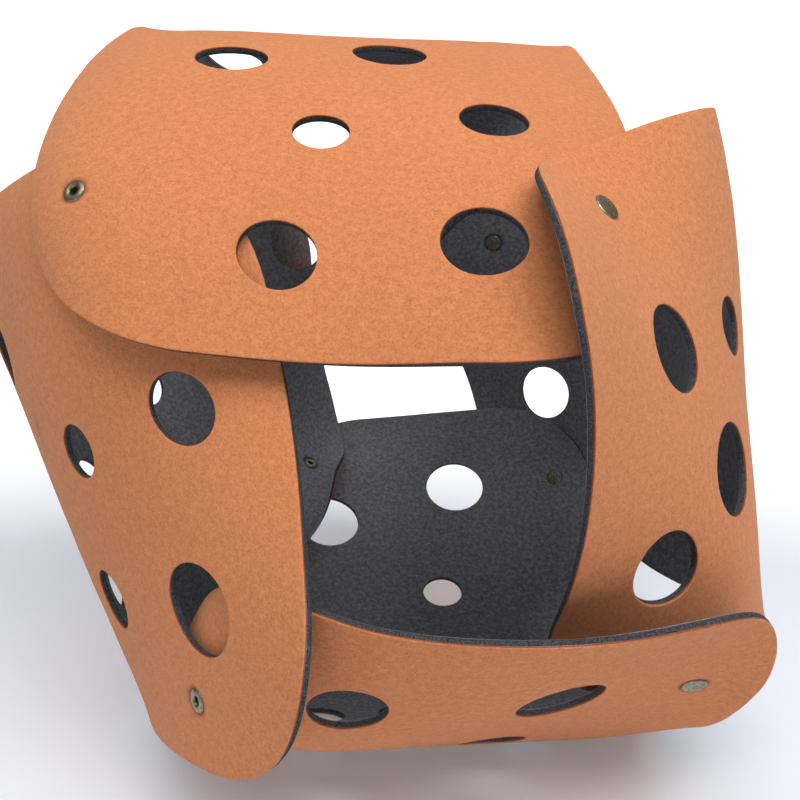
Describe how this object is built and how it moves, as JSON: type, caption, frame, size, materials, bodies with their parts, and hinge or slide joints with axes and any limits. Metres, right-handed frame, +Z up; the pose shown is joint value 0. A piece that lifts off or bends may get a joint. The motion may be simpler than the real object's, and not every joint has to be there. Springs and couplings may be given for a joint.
{
  "type": "pet tunnel",
  "caption": "Cat tunnel of long felt panels with punched round holes, bowed outwards and snapped together at their rounded corners.",
  "frame": {"origin": "centre of the bounding box's underside, on the surface that the tunnel stands on", "axes": "+Z up, -Y towards the front opening, +X to the right seen from the front"},
  "size_m": [0.4784, 0.4922, 0.4119],
  "materials": {
    "felt_orange": "matte",
    "aged_brass": "satin"
  },
  "bodies": {
    "root": {"panel_top": "felt_orange", "panel_left": "felt_orange", "panel_bottom": "felt_orange", "panel_right": "felt_orange", "snap_front_top_left_outer": "aged_brass", "snap_front_top_left_inner": "aged_brass", "snap_front_left_bottom_outer": "aged_brass", "snap_front_left_bottom_inner": "aged_brass", "snap_front_bottom_right_outer": "aged_brass", "snap_front_bottom_right_inner": "aged_brass", "snap_front_right_top_outer": "aged_brass", "snap_front_right_top_inner": "aged_brass", "snap_rear_left_top_outer": "aged_brass", "snap_rear_left_top_inner": "aged_brass", "snap_rear_bottom_left_outer": "aged_brass", "snap_rear_bottom_left_inner": "aged_brass", "snap_rear_right_bottom_outer": "aged_brass", "snap_rear_right_bottom_inner": "aged_brass", "snap_rear_top_right_outer": "aged_brass", "snap_rear_top_right_inner": "aged_brass"}
  },
  "joints": []
}
